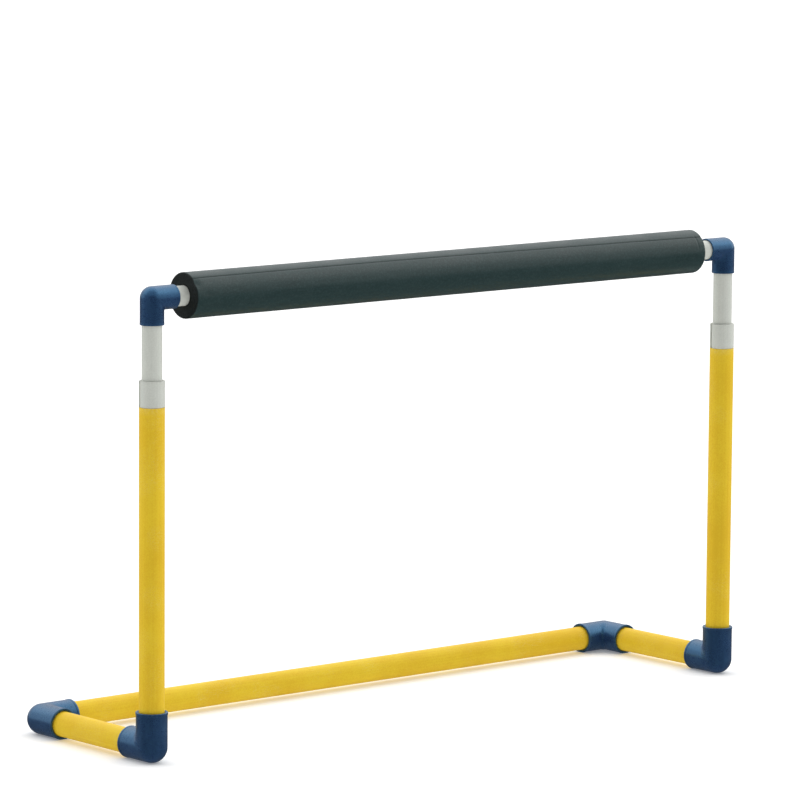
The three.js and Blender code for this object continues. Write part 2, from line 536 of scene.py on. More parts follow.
@dataclass(frozen=True)
class ExtrudedPlastic:
    """Drawn plastic tube: faint lines along it, handling smudges, scuffs, and worn cut ends."""

    name: str
    colour: Colour
    deep: Colour
    worn: Colour
    roughness: float
    gloss: float
    scuffs: float = 0.5
    bend: float = 1.5
    cloud: Layer = Layer(9.0, 4.0, 0.55)
    drawn: Layer = Layer(1.0, 4.0, 0.6, stretch=(420.0, 420.0, 4.0))
    mottle: Layer = Layer(420.0, 3.0, 0.7)
    grain: Layer = Layer(1500.0, 2.0)
    smudge: Patches = Patches(Layer(38.0, 6.0, 0.62), Span(0.5, 0.72))
    chips: Patches = Patches(Layer(240.0, 4.0, 0.6), Span(0.3, 0.62))
    scratches: Scratches = Scratches(
        across=Layer(stretch=(60.0, 900.0, 420.0), turn=(18.0, 31.0, 24.0)),
        width=0.016,
        patch=Patches(Layer(14.0, 2.0), Span(0.48, 0.62)),
    )
    cloud_share: float = 0.4
    drawn_share: float = 0.2
    mottle_share: float = 0.4
    tones: Span = Span(0.40, 0.60)
    rim_wear: float = 0.6
    smudge_rough: float = 0.09
    scuff_rough: float = 0.2
    rim_rough: float = 0.18
    rough_swing: float = 0.03
    line_depth: float = 0.035 * MM
    grain_depth: float = 0.012 * MM
    scratch_depth: float = 0.03 * MM

    def material(self) -> bpy.types.Material:
        """Builds the material.

        Returns:
            A material that reads the flow and wear marks.
        """
        w = Wiring(self.name)
        place = w.place()
        drawn = w.layer(w.mark(Mark.FLOW, "Vector"), self.drawn)
        scuff = self.scratches.value(w, place, self.scuffs)
        rim = w.product(w.mark(Mark.WEAR), self.chips.value(w, place))
        tone = w.sum(
            w.product(w.layer(place, self.cloud), self.cloud_share),
            w.product(drawn, self.drawn_share),
            w.product(w.layer(place, self.mottle), self.mottle_share),
        )
        colour = w.mixed(w.band(tone, self.tones), self.deep, self.colour)
        colour = w.mixed(scuff, colour, self.worn)
        colour = w.mixed(w.product(rim, self.rim_wear), colour, self.worn)
        smoother, rougher = self.roughness - self.rough_swing, self.roughness + self.rough_swing
        rough = w.sum(
            w.product(self.smudge.value(w, place), self.smudge_rough),
            w.product(scuff, self.scuff_rough),
            w.band(drawn, SWING, smoother, rougher),
            w.product(rim, self.rim_rough),
        )
        relief = w.relief(drawn, self.line_depth)
        relief = w.relief(w.layer(place, self.grain), self.grain_depth, relief)
        relief = w.relief(scuff, -self.scratch_depth, relief)
        w.shade(Base_Color=colour, Roughness=rough, Normal=relief)
        w.shade(IOR=self.bend, Specular_IOR_Level=self.gloss)
        return w.material


@dataclass(frozen=True)
class MouldedPlastic:
    """Injection-moulded plastic: a fine cast grain, flow clouds, a scuffed rim and corners."""

    name: str
    colour: Colour
    deep: Colour
    worn: Colour
    roughness: float
    gloss: float
    sheen: Colour = (1.0, 1.0, 1.0)
    bend: float = 1.5
    cloud: Layer = Layer(1.0, 5.0, 0.6, stretch=(40.0, 40.0, 18.0))
    mottle: Layer = Layer(460.0, 3.0, 0.7)
    grain: Layer = Layer(1100.0, 3.0, 0.55)
    peel: Layer = Layer(190.0, 2.0)
    smudge: Patches = Patches(Layer(55.0, 5.0, 0.6), Span(0.46, 0.7))
    chips: Patches = Patches(Layer(320.0, 4.0, 0.65), Span(0.42, 0.66))
    scratches: Scratches = Scratches(
        across=Layer(stretch=(900.0, 80.0, 500.0), turn=(35.0, 12.0, 40.0)),
        width=0.014,
        patch=Patches(Layer(26.0, 2.0), Span(0.48, 0.62)),
    )
    scuffs: float = 0.55
    cloud_share: float = 0.5
    mottle_share: float = 0.5
    tones: Span = Span(0.40, 0.60)
    rim_wear: float = 0.5
    smudge_rough: float = 0.08
    wear_rough: float = 0.16
    smoother: float = 0.03
    rougher: float = 0.04
    peel_depth: float = 0.06 * MM
    grain_depth: float = 0.022 * MM
    scratch_depth: float = 0.03 * MM

    def material(self) -> bpy.types.Material:
        """Builds the material.

        Returns:
            A material that reads the flow and wear marks.
        """
        w = Wiring(self.name)
        place = w.place()
        grain = w.layer(place, self.grain)
        scuff = self.scratches.value(w, place, self.scuffs)
        rim = w.product(w.mark(Mark.WEAR), self.chips.value(w, place))
        tone = w.sum(
            w.product(w.layer(w.mark(Mark.FLOW, "Vector"), self.cloud), self.cloud_share),
            w.product(w.layer(place, self.mottle), self.mottle_share),
        )
        colour = w.mixed(w.band(tone, self.tones), self.deep, self.colour)
        worn = w.math("MAXIMUM", scuff, w.product(rim, self.rim_wear))
        rough = w.sum(
            w.product(self.smudge.value(w, place), self.smudge_rough),
            w.product(w.sum(scuff, rim), self.wear_rough),
            w.band(grain, SWING, self.roughness - self.smoother, self.roughness + self.rougher),
        )
        relief = w.relief(w.layer(place, self.peel), self.peel_depth)
        relief = w.relief(grain, self.grain_depth, relief)
        relief = w.relief(scuff, -self.scratch_depth, relief)
        w.shade(Base_Color=w.mixed(worn, colour, self.worn), Roughness=rough, Normal=relief)
        w.shade(IOR=self.bend, Specular_IOR_Level=self.gloss, Specular_Tint=(*self.sheen, 1.0))
        return w.material


@dataclass(frozen=True)
class FoamSkin:
    """Closed-cell foam tube: cells under a smooth skin, and a seam and cut ends darkened by open
    cells and painted shade.
    """

    name: str
    colour: Colour
    deep: Colour
    light: Colour
    # The open cells' near-black colour, also used as painted shade on the seam, the end faces and
    # the bore.
    cut: Colour
    sheen: Colour
    roughness: float
    gloss: float
    bend: float = 1.5
    fine_cells: float = 820.0
    coarse_cells: float = 330.0
    cloud: Layer = Layer(26.0, 5.0, 0.6)
    drawn: Layer = Layer(1.0, 4.0, 0.6, stretch=(260.0, 260.0, 7.0))
    grain: Layer = Layer(1700.0, 2.0)
    speck: Patches = Patches(Layer(330.0, 3.0, 0.7), Span(0.46, 0.64))
    cloud_share: float = 0.5
    drawn_share: float = 0.5
    tones: Span = Span(0.34, 0.66)
    cell_tones: Span = Span(0.05, 0.65)
    speck_strength: float = 0.7
    cell_strength: float = 0.22
    # How far the seam is darkened: its open cells, and painted shade in its groove.
    seam_cells_and_shade: float = 0.42
    # How far the ends and the bore are darkened: open cells, and painted shade on the end faces and
    # in the bore.
    end_cells_and_shade: float = 0.85
    smoother: float = 0.04
    rougher: float = 0.05
    open_rough: float = 0.35
    coarse_share: float = 0.6
    fine_share: float = 0.4
    line_depth: float = 0.06 * MM
    cell_depth: float = 0.045 * MM
    grain_depth: float = 0.03 * MM
    open_depth: float = 0.7 * MM

    def material(self) -> bpy.types.Material:
        """Builds the material.

        Returns:
            A material that reads the flow, seam and cut marks.
        """
        w = Wiring(self.name)
        place = w.place()
        seam = w.mark(Mark.SEAM)
        cut = w.mark(Mark.CUT)
        wall = w.cells(place, self.fine_cells)
        cloud = w.layer(place, self.cloud)
        drawn = w.layer(w.mark(Mark.FLOW, "Vector"), self.drawn)
        tone = w.sum(w.product(cloud, self.cloud_share), w.product(drawn, self.drawn_share))
        colour = w.mixed(w.band(tone, self.tones), self.deep, self.colour)
        for value, strength, over in (
            (self.speck.value(w, place), self.speck_strength, self.light),
            (w.band(wall, self.cell_tones), self.cell_strength, self.deep),
            # The seam: open cells, and painted shade in its groove.
            (seam, self.seam_cells_and_shade, self.cut),
            # The cut ends and the bore: open cells, and painted shade on the end faces and inside
            # the bore.
            (cut, self.end_cells_and_shade, self.cut),
        ):
            colour = w.mixed(w.product(value, strength), colour, over)
        rough = w.sum(
            w.band(cloud, SWING, self.roughness - self.smoother, self.roughness + self.rougher),
            w.product(w.math("MAXIMUM", seam, cut), self.open_rough),
        )
        coarse = w.product(w.cells(place, self.coarse_cells), self.coarse_share)
        open_cells = w.product(w.sum(coarse, w.product(wall, self.fine_share)), cut)
        relief = w.relief(drawn, self.line_depth)
        relief = w.relief(wall, self.cell_depth, relief)
        relief = w.relief(w.layer(place, self.grain), self.grain_depth, relief)
        relief = w.relief(open_cells, -self.open_depth, relief)
        w.shade(Base_Color=colour, Roughness=rough, Normal=relief)
        w.shade(IOR=self.bend, Specular_IOR_Level=self.gloss, Specular_Tint=(*self.sheen, 1.0))
        return w.material


@dataclass(frozen=True)
class StudioPaper:
    """Plain rough paper with the faintest unevenness, which gives off a glow of its own colour."""

    name: str
    colour: Colour
    deep: Colour
    glow: float
    gloss: float = 0.1
    cloud: Layer = Layer(1.3)
    worn: Layer = Layer(2.1, 2.0)
    grain: Layer = Layer(350.0, 2.0)
    smoothest: float = 0.86
    roughest: float = 0.94
    grain_depth: float = 0.02 * MM

    def material(self) -> bpy.types.Material:
        """Builds the material.

        Returns:
            A rough material that glows.
        """
        w = Wiring(self.name)
        place = w.place()
        w.shade(
            Base_Color=w.mixed(w.layer(place, self.cloud), self.deep, self.colour),
            Roughness=w.band(w.layer(place, self.worn), SWING, self.smoothest, self.roughest),
            Normal=w.relief(w.layer(place, self.grain), self.grain_depth),
            Specular_IOR_Level=self.gloss,
            Emission_Strength=self.glow,
            Emission_Color=(*self.colour, 1.0),
        )
        return w.material


YELLOW = ExtrudedPlastic(
    name="yellow_tube_plastic",
    colour=(0.915, 0.648, 0.036),
    deep=(0.840, 0.535, 0.025),
    worn=(0.93, 0.77, 0.30),
    roughness=0.42,
    gloss=0.11,
)
WHITE = ExtrudedPlastic(
    name="white_tube_plastic",
    colour=(0.705, 0.730, 0.680),
    deep=(0.632, 0.656, 0.607),
    worn=(0.50, 0.50, 0.46),
    roughness=0.38,
    gloss=0.2,
    scuffs=0.4,
)
BLUE = MouldedPlastic(
    name="blue_elbow_plastic",
    colour=(0.023, 0.053, 0.136),
    deep=(0.015, 0.035, 0.094),
    worn=(0.075, 0.165, 0.320),
    roughness=0.28,
    gloss=1.0,
    sheen=(0.2, 0.6, 1.0),
    bend=1.65,
)
BLACK = MouldedPlastic(
    name="black_plug_plastic",
    colour=(0.022, 0.023, 0.025),
    deep=(0.016, 0.017, 0.018),
    worn=(0.080, 0.080, 0.080),
    roughness=0.5,
    gloss=0.4,
)
FOAM = FoamSkin(
    name="dark_foam_skin",
    colour=(0.0185, 0.047, 0.0485),
    deep=(0.0155, 0.038, 0.0395),
    light=(0.036, 0.071, 0.072),
    # Near black: the open cells, and the painted shade of the seam, the end faces and the bore.
    cut=(0.005, 0.008, 0.008),
    sheen=(1.0, 0.93, 0.90),
    roughness=0.35,
    gloss=0.32,
)
PALE_PAPER = StudioPaper(
    name="pale_paper", colour=(0.94, 0.94, 0.94), deep=(0.93, 0.93, 0.93), glow=0.2
)
GREY_CARD = StudioPaper(
    name="grey_card", colour=(0.50, 0.50, 0.49), deep=(0.49, 0.49, 0.48), glow=0.95
)


# ------------------------------------------------------------------------------ piece forms


@dataclass(frozen=True)
class TubeForm:
    """A cut length of round tube about +Z."""

    outer: float
    bore: float
    edge: float = 0.45 * MM
    wear_reach: float = 1.2 * MM
    sides: int = 112

    def skin(self, length: float) -> Skin:
        """Turns the wall's outline, with its four edges rounded, about the axis.

        Args:
            length: The tube's length.

        Returns:
            The tube from height 0 up, whose wear mark is strongest at the two cut ends.
        """
        outline = rounded_path(
            [
                Corner(self.bore, 0.0, self.edge),
                Corner(self.outer, 0.0, self.edge),
                Corner(self.outer, length, self.edge),
                Corner(self.bore, length, self.edge),
            ],
            closed=True,
        )
        made = turned(outline, self.sides)
        height = made.points[..., 2]
        made.marks[Mark.WEAR] = np.exp(-np.minimum(height, length - height) / self.wear_reach)
        return made


@dataclass(frozen=True)
class ElbowForm:
    """A right-angled push-on elbow with its legs along its own +X and +Y.

    Its outside is two cylinders and the ball where they cross, with a soft fillet in the inner
    corner. A lip stands out round each mouth, and a lead-in, a socket, a ledge that the tube seats
    on and a passage follow inside.
    """

    socket: float
    body: float
    rim: float
    passage: float
    seat: float
    reach: float
    lip_length: float
    lead_in: float
    fillet: float = 5.0 * MM
    fillet_fade: float = 0.45
    outer_straight: float = 9.0 * MM
    inner_straight: float = 1.5 * MM
    lip_run_up: float = 1.2 * MM
    lip_root: float = 0.8 * MM
    lip_back: float = 0.4 * MM
    lip_front: float = 0.9 * MM
    lead_edge: float = 0.35 * MM
    ledge_root: float = 0.3 * MM
    ledge_edge: float = 0.4 * MM
    wear_reach: float = 1.4 * MM
    ground_wear: float = 1.5 * MM
    sides: int = 144
    corner_steps: int = 56
    leg_steps: int = 12
    newton_steps: int = 3
    probe: float = 1e-5
    least_slope: float = 0.2
    least_width: float = 1e-7
    least_bend: float = 1e-9

    def corner(self, radius: float, spare: float, angle: Array) -> Array:
        """Carries a ring round the corner, from the first leg to the second.

        On the outer half each point goes straight to the corner, along a quarter circle about the
        third axis, and straight away from it. On the inner half the two straights meet where the
        legs cross. Points lie at equal steps along that path.

        Args:
            radius: The ring's radius.
            spare: The length of the straights.
            angle: The ring's angles, from the side that faces the other leg.

        Returns:
            Points as (steps, angles, 3).
        """
        inward = radius * np.cos(angle)
        third = radius * np.sin(angle)
        bend = np.maximum(-inward, 0)
        shift = np.maximum(inward, 0)
        arc = bend * math.pi / 2
        steps = np.linspace(0, 1, self.corner_steps)[:, None]
        gone = steps * (2 * spare + arc)
        turn = np.clip((gone - spare) / np.maximum(bend, self.least_bend), 0, math.pi / 2)
        turn = np.where(bend > self.least_bend, turn, 0.0)
        before = np.maximum(spare - gone, 0)
        after = np.maximum(gone - spare - arc, 0)
        along_first = shift + before - bend * np.sin(turn)
        along_second = np.where(after > 0, shift + after, inward)
        curved = (before <= 0) & (after <= 0)
        along_second = np.where(curved, shift - bend * np.cos(turn), along_second)
        along_first = np.where(after > 0, inward, along_first)
        return np.stack([along_first, along_second, np.broadcast_to(third, gone.shape)], axis=-1)

    def to_leg(self, points: Array, axis: int) -> Array:
        """The distance to the outside of the leg along an axis, which starts in a ball."""
        past = points.copy()
        past[..., axis] = np.minimum(past[..., axis], 0)
        return np.linalg.norm(past, axis=-1) - self.body

    def to_outside(self, points: Array) -> Array:
        """The distance to the smooth union of the two legs.

        It is the smaller of the distances to the two legs, less a quarter of the square of what is
        left of the fillet's width over that width. The fillet fades out where a point isn't in
        front of both legs, so the ball keeps its radius.

        Args:
            points: Any points.

        Returns:
            Their distances, negative inside.
        """
        first = self.to_leg(points, 0)
        second = self.to_leg(points, 1)
        nearer = np.minimum(points[..., 0], points[..., 1])
        fade = smooth_step(nearer, 0.0, self.fillet_fade * self.body)
        width = self.fillet * fade + self.least_width
        left = np.maximum(width - np.abs(first - second), 0)
        return np.minimum(first, second) - left * left / (4 * width)

    def blended(self, points: Array) -> Array:
        """Moves points to the smooth union of the two legs by Newton's steps.

        A step is the distance times its slope over the slope's square. The slope is the change of
        the distance between two probes, one on each side of the point along each axis.

        Args:
            points: Points near the outside.

        Returns:
            The moved points.
        """
        probes = np.eye(3) * self.probe
        for _ in range(self.newton_steps):
            here = self.to_outside(points)
            rise = [self.to_outside(points + p) - self.to_outside(points - p) for p in probes]
            slope = np.stack(rise, axis=-1) / (2 * self.probe)
            size = np.maximum(np.sum(slope * slope, axis=-1), self.least_slope)
            points = points - slope * (here / size)[..., None]
        return points

    def skin(self, down: Array | None = None, ground: float = 0.0) -> Skin:
        """Joins the outside and the hollow of both legs into one closed surface.

        A leg's outside is (along, body cos a, body sin a), from the corner to its lip. The mouth's
        outline follows, the same at every angle a, and then the passage back to the corner. The
        flow mark is (body cos a, body sin a, the way along the elbow), and the wear mark is
        strongest at the mouths and on the flat.

        Args:
            down: The direction of the flat that the elbow stands on, in its own axes, or None.
            ground: The flat's distance from the corner.

        Returns:
            The elbow about its corner.
        """
        angle = (np.arange(self.sides) + 0.5) * 2 * math.pi / self.sides
        lip_start = self.reach - self.lip_length
        mouth = rounded_path(
            [
                Corner(lip_start - self.lip_run_up, self.body),
                Corner(lip_start, self.body, self.lip_root),
                Corner(lip_start + (self.rim - self.body), self.rim, self.lip_back),
                Corner(self.reach, self.rim, self.lip_front),
                Corner(self.reach, self.socket + self.lead_in, self.lead_edge),
                Corner(self.reach - self.lead_in, self.socket, self.lead_edge),
                Corner(self.seat, self.socket, self.ledge_root),
                Corner(self.seat, self.passage, self.ledge_edge),
                Corner(self.seat - self.inner_straight, self.passage),
            ],
            closed=False,
        )
        outer_corner = self.corner(self.body, self.outer_straight, angle)
        inner_corner = self.corner(self.passage, self.inner_straight, angle)
        share = np.linspace(0, 1, self.leg_steps, endpoint=False)[1:, None]
        outer_start = np.maximum(self.body * np.cos(angle), 0) + self.outer_straight
        inner_start = np.maximum(self.passage * np.cos(angle), 0) + self.inner_straight
        outer_along = outer_start + share * (mouth[0, 0] - outer_start)
        inner_along = mouth[-1, 0] + share * (inner_start - mouth[-1, 0])
        leg_along = np.concatenate(
            [outer_along, np.broadcast_to(mouth[:, :1], (len(mouth), self.sides)), inner_along]
        )
        outer_radius = np.full_like(outer_along, self.body)
        inner_radius = np.full_like(inner_along, self.passage)
        mouth_radius = np.broadcast_to(mouth[:, 1:], (len(mouth), self.sides))
        leg_radius = np.concatenate([outer_radius, mouth_radius, inner_radius])
        inward = leg_radius * np.cos(angle)
        third = leg_radius * np.sin(angle)
        first_leg = np.stack([leg_along, inward, third], axis=-1)
        second_leg = np.stack([inward, leg_along, third], axis=-1)
        points = np.concatenate([first_leg[::-1], outer_corner, second_leg, inner_corner[::-1]])
        legs = len(leg_along)
        inside = len(mouth) + self.leg_steps - 1
        outside = slice(inside, 2 * legs + self.corner_steps - inside)
        points[outside] = self.blended(points[outside])
        bend = np.linspace(-1, 1, self.corner_steps)[:, None]
        bend = np.broadcast_to(bend, (self.corner_steps, self.sides))
        outer_bend, inner_bend = self.outer_straight * bend, -self.inner_straight * bend
        flow_along = np.concatenate([-leg_along[::-1], outer_bend, leg_along, inner_bend])
        around = self.body * np.stack([np.cos(angle), np.sin(angle)], axis=-1)
        around = np.broadcast_to(around, (*flow_along.shape, 2))
        flow = np.concatenate([around, flow_along[..., None]], axis=-1)
        to_mouth = self.reach - np.maximum(points[..., 0], points[..., 1])
        wear = np.exp(-np.abs(to_mouth) / self.wear_reach)
        if down is not None:
            below = np.maximum(points @ down - ground, 0)
            near_ground = smooth_step(points @ down, ground - self.ground_wear, ground)
            wear = np.maximum(wear, near_ground)
            points = points - below[..., None] * down
        return Skin(points, {Mark.FLOW: flow, Mark.WEAR: wear})


@dataclass(frozen=True)
class CollarForm:
    """A split ring about +Z that stands on its upright."""

    bore: float
    outer: float
    height: float
    slit: float
    slit_turn: float
    edge: float = 1.0 * MM
    bore_edge: float = 0.6 * MM
    lip: float = 0.7 * MM
    wear_reach: float = 1.0 * MM
    stride: float = 4.0 * MM
    sides: int = 132
    lip_steps: int = 5

    def skin(self) -> Skin:
        """Carries the wall's outline round from one face of the slit to the other.

        The slit's faces are flat and stand off from the plane through the axis by half the slit,
        so a point at distance r from the axis starts at the angle whose sine is half the slit over
        r. The outline shrinks towards its middle over the last stations, which rounds the faces.

        Returns:
            The collar from height 0 up, with its two faces filled.
        """
        outline = rounded_path(
            [
                Corner(self.bore, 0.0, self.bore_edge),
                Corner(self.outer, 0.0, self.edge),
                Corner(self.outer, self.height, self.edge),
                Corner(self.bore, self.height, self.bore_edge),
            ],
            closed=True,
            stride=self.stride,
        )
        turn = np.linspace(0, math.pi / 2, self.lip_steps + 1)[:-1]
        inset = np.concatenate([1 - np.sin(turn), np.zeros(self.sides), (1 - np.sin(turn))[::-1]])
        inset = inset[:, None] * self.lip
        set_back = 1 - np.cos(turn)
        middle = np.array([(self.bore + self.outer) / 2, self.height / 2])
        half = np.array([(self.outer - self.bore) / 2, self.height / 2])
        towards = (outline - middle) / half
        across = outline[:, 0] - inset * towards[:, 0]
        height = outline[:, 1] - inset * towards[:, 1]
        stations = self.lip_steps
        share = np.linspace(0, 1, self.sides)[:, None]
        first = np.arcsin((self.slit / 2 + self.lip) / across[stations : stations + 1])
        angle = np.empty_like(across)
        angle[stations:-stations] = first + share * (2 * math.pi - 2 * first)
        rising = (self.slit / 2 + self.lip * set_back[:, None]) / across[:stations]
        angle[:stations] = np.arcsin(rising)
        angle[-stations:] = 2 * math.pi - np.arcsin(rising[::-1])
        angle = angle + math.radians(self.slit_turn)
        points = np.stack([across * np.cos(angle), across * np.sin(angle), height], axis=-1)
        edges = np.minimum(height, self.height - height)
        wear = np.exp(-np.maximum(edges, 0) / self.wear_reach)
        return Skin(points, {Mark.FLOW: points.copy(), Mark.WEAR: wear}, closed_rows=False)


@dataclass(frozen=True)
class PlugForm:
    """A plug with a flange at its foot and a hollow stem, about +Z."""

    flange: float
    stem: float
    flange_height: float
    height: float
    wall: float
    near_axis: float = 0.4 * MM
    round_edge: float = 0.8 * MM
    sharp_edge: float = 0.5 * MM
    stem_root: float = 0.4 * MM
    wear_reach: float = 0.8 * MM
    stride: float = 3.0 * MM
    sides: int = 96

    def skin(self) -> Skin:
        """Turns the plug's outline, which starts and ends close to the axis.

        Returns:
            The plug from height 0 up.
        """
        bore = self.stem - self.wall
        outline = rounded_path(
            [
                Corner(self.near_axis, 0.0),
                Corner(self.flange, 0.0, self.round_edge),
                Corner(self.flange, self.flange_height, self.sharp_edge),
                Corner(self.stem, self.flange_height, self.stem_root),
                Corner(self.stem, self.height, self.round_edge),
                Corner(bore, self.height, self.sharp_edge),
                Corner(bore, self.flange_height, self.round_edge),
                Corner(self.near_axis, self.flange_height),
            ],
            closed=False,
            stride=self.stride,
        )
        made = turned(outline, self.sides, closed=False)
        height = made.points[..., 2]
        made.marks[Mark.WEAR] = np.exp(-height / self.wear_reach)
        return made


@dataclass(frozen=True)
class Dent:
    """A shallow oval hollow in the foam: its place, its two half sizes and its depth."""

    along: float
    turn: float
    half_length: float
    half_width: float
    depth: float


@dataclass(frozen=True)
class FoamForm:
    """A foam sleeve about its own +Z, slit along its length and closed again.

    Turns are in degrees round the sleeve from its top towards its front, and the crease's fades
    are in radians. Its own +X is the back and its own +Y is up. The seam mark is made of a share
    of the groove and a share of the slit.
    """

    outer: float
    bore: float
    edge: float = 2.6 * MM
    bore_edge: float = 0.4 * MM
    seam_turns: tuple[float, ...] = (37.5, 36.2, 35.0, 36.2, 38.4, 40.2, 43.5)
    seam_depth: float = 0.38 * MM
    seam_width: float = 1.9 * MM
    slit_depth: float = 0.35 * MM
    slit_width: float = 0.45 * MM
    groove_share: float = 0.4
    slit_share: float = 0.6
    ripple: float = 0.10 * MM
    crease_in: float = 15.5 * MM
    crease_turns: tuple[float, float] = (34.0, 84.0)
    crease_fades: tuple[float, float] = (0.2, 0.3)
    crease_depth: float = 0.6 * MM
    crease_width: float = 1.3 * MM
    end_wave: float = 0.25 * MM
    end_reach: float = 3.0 * MM
    cut_rim: float = 0.2 * MM
    cut_bore: float = 2.0 * MM
    dents: tuple[Dent, ...] = (
        Dent(0.001, 53.0, 9 * MM, 8 * MM, 2.4 * MM),
        Dent(0.022, 83.0, 9 * MM, 4 * MM, 0.5 * MM),
        Dent(0.372, 71.0, 16 * MM, 4 * MM, 0.25 * MM),
        Dent(0.804, 58.0, 11 * MM, 6 * MM, 0.3 * MM),
        Dent(0.955, 100.0, 13 * MM, 5 * MM, 0.3 * MM),
        Dent(0.560, 230.0, 20 * MM, 7 * MM, 0.35 * MM),
    )
    sides: int = 230
    stride: float = 5.8 * MM
    crowding: float = 0.8
    seam_crowding: float = 0.93
    seam_points: int = 400
    seam_easing: int = 35
    waves: tuple[int, ...] = (0, 1, 2, 3, 2, 1)
    wave_counts: tuple[float, float] = (3.0, 19.0)
    seed: int = 7

    def seam(self, share: Array) -> Array:
        """The seam's turn at a share of the length, joined smoothly through the named turns."""
        known = np.linspace(0, 1, len(self.seam_turns))
        fine = np.linspace(0, 1, self.seam_points)
        line = np.interp(fine, known, self.seam_turns)
        kernel = np.hanning(2 * self.seam_easing + 1)
        padded = np.pad(line, self.seam_easing, mode="edge")
        return np.interp(share, fine, np.convolve(padded, kernel / kernel.sum(), mode="valid"))

    def unevenness(self, share: Array, turn: Array) -> Array:
        """Averages long waves of seeded length and phase along and round the sleeve.

        Args:
            share: Shares of the length.
            turn: Turns in radians.

        Returns:
            Values of about -1 to 1.
        """
        dice = np.random.default_rng(self.seed)
        total = np.zeros(np.broadcast_shapes(share.shape, turn.shape))
        for around in self.waves:
            along = dice.uniform(*self.wave_counts)
            phase = dice.uniform(0, 2 * math.pi)
            total = total + np.cos(2 * math.pi * along * share + around * turn + phase)
        return total / len(self.waves)

    def skin(self, length: float) -> Skin:
        """Builds the sleeve from its outline, then moves the outer side's points in and out.

        The rows crowd towards both ends: a row at a share s of the straight side moves back by the
        crowding times that side's length times sin(2 pi s) / (2 pi). The columns follow the seam
        and crowd towards it: a column at u has the turn of the seam plus u less the seam's
        crowding times sin u. The seam is a shallow groove shaped like a bell curve, with a narrow
        slit of the same shape along its middle. The crease and the dents are bell curves too.

        Args:
            length: The sleeve's length.

        Returns:
            The sleeve from height 0 up, with its seam and cut marks.
        """
        outline = rounded_path(
            [
                Corner(self.bore, 0.0, self.bore_edge),
                Corner(self.outer, 0.0, self.edge),
                Corner(self.outer, length, self.edge),
                Corner(self.bore, length, self.bore_edge),
            ],
            closed=True,
            stride=self.stride,
        )
        radius = outline[:, :1]
        straight = length - 2 * self.edge
        share = np.clip((outline[:, 1:] - self.edge) / straight, 0.0, 1.0)
        set_back = self.crowding * straight * np.sin(2 * math.pi * share) / (2 * math.pi)
        height = outline[:, 1:] - set_back
        share = height / length
        u = np.linspace(-math.pi, math.pi, self.sides, endpoint=False)[None, :]
        off_seam = u - self.seam_crowding * np.sin(u)
        turn = np.radians(self.seam(share)) + off_seam
        on_side = smooth_step(radius, self.outer - self.edge, self.outer)
        distance = off_seam * self.outer
        groove = np.exp(-((distance / self.seam_width) ** 2))
        slit = np.exp(-((distance / self.slit_width) ** 2))
        change = self.ripple * (self.unevenness(share, turn) - 1)
        change = change - self.seam_depth * groove - self.slit_depth * slit
        low, high = np.radians(self.crease_turns)
        fade_in, fade_out = self.crease_fades
        within = smooth_step(turn, low, low + fade_in)
        within = within * (1 - smooth_step(turn, high - fade_out, high))
        off_crease = (length - height - self.crease_in) / self.crease_width
        change = change - self.crease_depth * (np.exp(-(off_crease**2)) * within)
        for dent in self.dents:
            apart = (turn - math.radians(dent.turn) + math.pi) % (2 * math.pi) - math.pi
            far = ((height - dent.along * length) / dent.half_length) ** 2
            far = far + (apart * self.outer / dent.half_width) ** 2
            change = change - dent.depth * np.exp(-far)
        across = radius + on_side * change
        end_waves = self.unevenness(np.zeros_like(share), turn)
        end_waves = end_waves * smooth_step(radius, self.bore, self.outer)
        from_middle = height - length / 2
        near_end = smooth_step(np.abs(from_middle), length / 2 - self.end_reach, length / 2)
        moved = np.sign(from_middle) * near_end * self.end_wave * (1 - end_waves)
        along = height - moved
        points = np.stack([-across * np.sin(turn), across * np.cos(turn), along], axis=-1)
        # The seam and cut marks below are where the material darkens the foam: open cells, and
        # painted shade in the seam's groove, on the end faces and in the bore.
        to_end = np.minimum(height, length - height)
        cut = np.maximum(
            1 - smooth_step(to_end, self.cut_rim, self.edge),
            1 - smooth_step(radius, self.bore, self.bore + self.cut_bore),
        )
        marks = {
            Mark.FLOW: points.copy(),
            Mark.SEAM: (self.groove_share * groove + self.slit_share * slit) * on_side,
            Mark.CUT: np.broadcast_to(cut, turn.shape),
        }
        return Skin(points, marks)


# ------------------------------------------------------------------------------ sub-assemblies


def finished_piece(
    skin: Skin, node: str, body: Body, material: bpy.types.Material
) -> bpy.types.Object:
    """Makes a surface the piece that stands for a node.

    Args:
        skin: The surface in the shared frame.
        node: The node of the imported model.
        body: The body that the piece rides on.
        material: The material.

    Returns:
        The piece.
    """
    name = f"{node}_surface"
    piece = bpy.data.objects.new(name, skin.mesh(name))
    bpy.context.scene.collection.objects.link(piece)
    piece.data.materials.append(material)
    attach(piece, body.value)
    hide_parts(node)
    piece.data.calc_loop_triangles()
    LOG.info("%s on %s: %d triangles", name, body.value, len(piece.data.loop_triangles))
    return piece


def tube_piece(
    node: str, run: Direction, wall: float, body: Body, material: bpy.types.Material
) -> None:
    """Builds a tube in the place of its node.

    Args:
        node: The tube's node.
        run: The direction that it runs in.
        wall: How thick its wall is.
        body: The body that it rides on.
        material: Its material.
    """
    box = NodeBox.of(node)
    axis = int(np.argmax(run.vector))
    outer = float(np.min(box.size)) / 2
    origin = box.middle
    origin[axis] = box.low[axis]
    first = np.roll(run.vector, 1)
    seat = Seat(origin, first, np.roll(first, 1))
    skin = seat.placed(TubeForm(outer, outer - wall).skin(float(box.size[axis])))
    finished_piece(skin, node, body, material)


